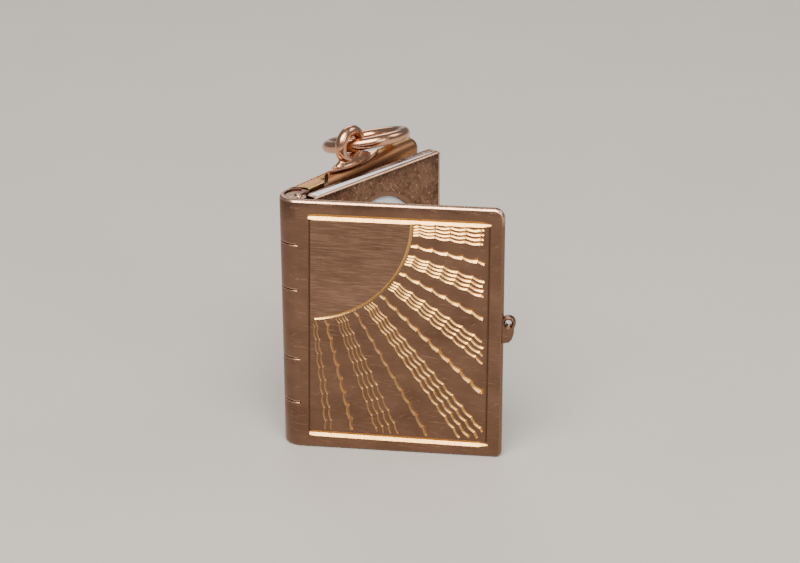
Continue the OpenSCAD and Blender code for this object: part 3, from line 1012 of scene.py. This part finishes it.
class LOCKET_OT_back_frame(bpy.types.Operator):
    """Models the picture frame inside the back cover"""
    bl_idname = "locket.back_frame"
    bl_label = "Picture frame"

    def execute(self, context):
        c, p, m = map(sizes, ("covers", "pages", "metals"))
        front, back = p.frame_front - c.spine, p.frame_front - c.spine + p.frame_depth
        high = c.height - 0.04
        wall, plate, rim_wide, rim_deep = 0.7, 0.22, 0.3, 0.08
        # The frame's edge takes a light copy of the gold: partly rubbed wear, partly painted highlight.
        materials = (yellow_gold(c.opening),
                     bright_gold("Rubbed frame edge with painted highlight", c.opening, 0.25, m.frame_edge),
                     bright_gold("Rubbed frame roll", c.opening, 0.3, m.frame_roll))
        page = tray(p.strip_end - 0.1, p.frame_end, front, back, high, p.frame_roll, materials)
        strip = coat(block("strip", (p.frame_start, front, 0), (p.strip_end, back, high)), *materials)
        soften_face(strip, front, 0.13, 3, material=1, profile=0.36)
        combine(strip, drum("room", c.spine + 0.03, -OVER, c.height + OVER, sides=180))
        combine(page, strip, "UNION")
        combine(page, block("card room", (p.frame_start + 1.3, front + plate, wall),
                            (p.frame_end - wall, back + OVER, c.height - wall)))
        combine(page, oval_tool(p, ((front - OVER / 2, rim_wide), (front, rim_wide),
                                    (front + rim_deep, 0), (back + OVER, 0))))
        notch = block("notch", (p.strip_end - 0.25, front - 0.1, high - 0.45),
                      (p.strip_end + 0.2, back - 0.08, high + OVER))
        slant = 1.2
        for vertex in notch.data.vertices:
            if vertex.co.y > front:
                vertex.co.x += slant
        combine(page, coat(notch, bright_gold("Worn notch gold", c.opening, 0.45, m.worn)))
        page.data.materials.append(top_gold("Olive frame gold", c.opening))
        coat_top(page, high, len(page.data.materials) - 1, front)
        settle(page, "back_frame", "back", c.opening)
        return {"FINISHED"}


class LOCKET_OT_leaf(bpy.types.Operator):
    """Models the leaf with its slot, windows and hinge tube"""
    bl_idname = "locket.leaf"
    bl_label = "Leaf"

    def execute(self, context):
        c, p, m = map(sizes, ("covers", "pages", "metals"))
        front = p.leaf_front - c.spine
        back = front + p.leaf_depth
        low, high = p.leaf_inset, c.height - p.leaf_inset
        corner, edge, rim_wide, rim_deep = 0.5, 0.15, 0.32, 0.08
        # The leaf's edges take the lit copy of the gold: partly rubbed wear, partly painted highlight.
        materials = (leaf_gold(p.opening), bright_gold("Rubbed leaf edge with painted highlight", p.opening, 0.25),
                     bright_gold("Rubbed leaf roll with painted highlight", p.opening, 0.3))
        leaf = page_blank(p.leaf_start, p.leaf_end, front, back, low, high, p.leaf_roll, corner, edge,
                          materials)
        combine(leaf, wedge("slot", p.leaf_start + 0.35, p.leaf_end - 0.7, (front + 0.13, front + 0.91),
                            (front + 0.3, front + 0.48), low + 0.7, high + OVER))
        # The window's inner wall is painted in the dark gold: a painted shadow on the wall.
        combine(leaf, coat(oval_tool(p, ((front - OVER / 2, 0), (back + OVER, 0))),
                           bright_gold("Painted shadow window gold", p.opening, 0.4, m.shade)))
        rim = oval_tool(p, ((front - OVER / 2, rim_wide), (front, rim_wide), (front + rim_deep, -0.03)))
        combine(leaf, coat(rim, bright_gold("Window rim gold", p.opening, 0.3, m.leaf)))
        ends = knuckle(c, 2)
        tube = coat(drum("tube", c.sleeve, *ends), *materials)
        soften(tube, 0.05, 2, level, material=1)
        strip = block("strip", (0, front / 2, ends[0]), (p.leaf_start + 0.35, back, ends[1]))
        combine(leaf, combine(tube, strip, "UNION"), "UNION")
        combine(leaf, drum("bore", c.bore, -OVER, c.height + OVER))
        leaf.data.materials.append(top_gold("Olive leaf gold", p.opening))
        coat_top(leaf, high, len(leaf.data.materials) - 1, front + p.leaf_depth / 2)
        settle(leaf, "leaf", "leaf_page", p.opening)
        return {"FINISHED"}


class LOCKET_OT_cards(bpy.types.Operator):
    """Models the leaf's picture card and finishes the back cover's"""
    bl_idname = "locket.cards"
    bl_label = "Picture cards"

    def execute(self, context):
        c, p = map(sizes, ("covers", "pages"))
        front = p.leaf_front - c.spine
        low, high = p.leaf_inset + 0.72, c.height - p.leaf_inset - 0.03
        card = wedge("card", p.leaf_start + 0.37, p.leaf_end - 0.72, (front + 0.15, front + 0.88),
                     (front + 0.32, front + 0.46), low, high)
        soften(card, 0.04, 2, lying(z=high))
        coat(card, card_paper(p.opening, "Leaf card"))
        combine(card, block("crease", (1.62, -2, high - 0.5), (1.7, 2, high + OVER)))
        settle(card, "leaf_card", "leaf_page", p.opening)
        back_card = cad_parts["back_card"]
        back_card.data.materials.clear()
        coat(back_card, card_paper(c.opening, "Frame card"))
        return {"FINISHED"}


class LOCKET_OT_hinge_pin(bpy.types.Operator):
    """Models the hinge pin with its domed ends"""
    bl_idname = "locket.hinge_pin"
    bl_label = "Hinge pin"

    def execute(self, context):
        c = sizes("covers")
        rod = drum("rod", c.pin, 0.04, c.height - 0.04, sides=48)
        soften(rod, 0.24, 6, level)
        coat(rod, bright_gold("Polished pin gold", 0, 0.2))
        settle(rod, "hinge_pin", "front")
        return {"FINISHED"}


class LOCKET_OT_jump_ring(bpy.types.Operator):
    """Models the jump ring with the fine gap where its wire closes"""
    bl_idname = "locket.jump_ring"
    bl_label = "Jump ring"

    def execute(self, context):
        c, r = map(sizes, ("covers", "ring"))
        half_gap = 0.012
        pick()
        bpy.ops.mesh.primitive_torus_add(major_radius=r.ring_radius, minor_radius=r.ring_wire,
                                         major_segments=144, minor_segments=36)
        ring = coat(named("ring"),
                    bright_gold("Polished ring gold", c.opening, 0.14, sizes("metals").wire))
        combine(ring, block("gap", (-half_gap, r.ring_radius - OVER, -OVER),
                            (half_gap, r.ring_radius + OVER, OVER)))
        ring.rotation_euler = (r.lean, r.dip, 0)
        ring.location = (r.ring_at, r.ring_depth - c.spine, r.ring_height)
        pick(ring)
        bpy.ops.object.transform_apply()
        settle(ring, "jump_ring", "back", c.opening)
        return {"FINISHED"}


def light(name, turn, rise, width, height, power, tone=(1.0, 0.93, 0.85)):
    """A soft box that looks at the middle of the locket from 0.4 m away: turn 0 is in front, and
    grows to the right; angles in degrees."""
    distance, turn, rise = 0.4, math.radians(turn), math.radians(rise)
    data = bpy.data.lights.new(name, "AREA")
    data.shape = "RECTANGLE"
    data.size, data.size_y = width, height
    data.energy = power
    data.color = tone
    lamp = placed(name, data)
    lamp.location = place = (distance * math.sin(turn) * math.cos(rise),
                             -distance * math.cos(turn) * math.cos(rise), distance * math.sin(rise))
    lamp.rotation_euler = (Vector((0, 0, 0.01)) - Vector(place)).to_track_quat("-Z", "Y").to_euler()


class LOCKET_OT_studio(bpy.types.Operator):
    """Sets up the floor, the lights and the camera"""
    bl_idname = "locket.studio"
    bl_label = "Studio"

    def execute(self, context):
        s = sizes("studio")
        pick()
        bpy.ops.mesh.primitive_plane_add(size=3)
        floor = named("floor")
        coat(floor, floor_cloth())
        light("key", 0, 55, 0.34, 0.26, s.key, (1.0, 0.89, 0.76))
        light("side", 50, 26, 0.14, 0.16, s.side)
        light("back", -165, 32, 0.2, 0.16, s.back)
        light("far side", 112, 42, 0.16, 0.16, s.far_side)
        world = bpy.data.worlds.new("Studio")
        world.use_nodes = True
        sky = world.node_tree.nodes["Background"].inputs
        sky["Color"].default_value = (0.9, 0.93, 1.0, 1)
        sky["Strength"].default_value = s.sky
        context.scene.world = world
        data = bpy.data.cameras.new("camera")
        data.lens = s.focal
        data.sensor_width = 36
        data.clip_start, data.clip_end = 0.01, 10
        camera = placed("camera", data)
        tilt, swing, roll = (math.radians(degrees) for degrees in (66.63, 7.63, -0.21))
        turn = Euler((tilt, 0, swing)).to_matrix() @ Matrix.Rotation(roll, 3, "Z")
        place = (Vector((27.75, -151.49, 79.46)) + PIN_MIDDLE.to_2d().to_3d()) * MM
        camera.matrix_world = Matrix.Translation(place) @ turn.to_4x4()
        context.scene.camera = camera
        return {"FINISHED"}


STEPS = (LOCKET_OT_front_cover, LOCKET_OT_back_cover, LOCKET_OT_back_frame, LOCKET_OT_leaf,
         LOCKET_OT_cards, LOCKET_OT_hinge_pin, LOCKET_OT_jump_ring, LOCKET_OT_studio)


class LOCKET_PT_sidebar(bpy.types.Panel):
    """Lists the locket's sizes and its pieces"""
    bl_idname = "LOCKET_PT_sidebar"
    bl_label = "Book locket"
    bl_space_type = "VIEW_3D"
    bl_region_type = "UI"
    bl_category = "Locket"

    def draw(self, context):
        for step in STEPS:
            self.layout.operator(step.bl_idname)
        for group, kind in GROUPS.items():
            box = self.layout.box()
            box.label(text=kind.__doc__)
            for name in kind.__annotations__:
                box.prop(getattr(context.scene, "locket_" + group), name)


CLASSES = (*GROUPS.values(), *STEPS, LOCKET_PT_sidebar)


def register():
    """Adds the classes, and the groups of sizes to the scene."""
    for kind in CLASSES:
        bpy.utils.register_class(kind)
    for group, kind in GROUPS.items():
        setattr(bpy.types.Scene, "locket_" + group, PointerProperty(type=kind))


def unregister():
    """Takes away what register() adds."""
    for group in GROUPS:
        delattr(bpy.types.Scene, "locket_" + group)
    for kind in reversed(CLASSES):
        bpy.utils.unregister_class(kind)


def main():
    """Builds the locket and its studio."""
    register()
    for step in STEPS:
        group, name = step.bl_idname.split(".")
        getattr(getattr(bpy.ops, group), name)()


if __name__ == "__main__":
    main()
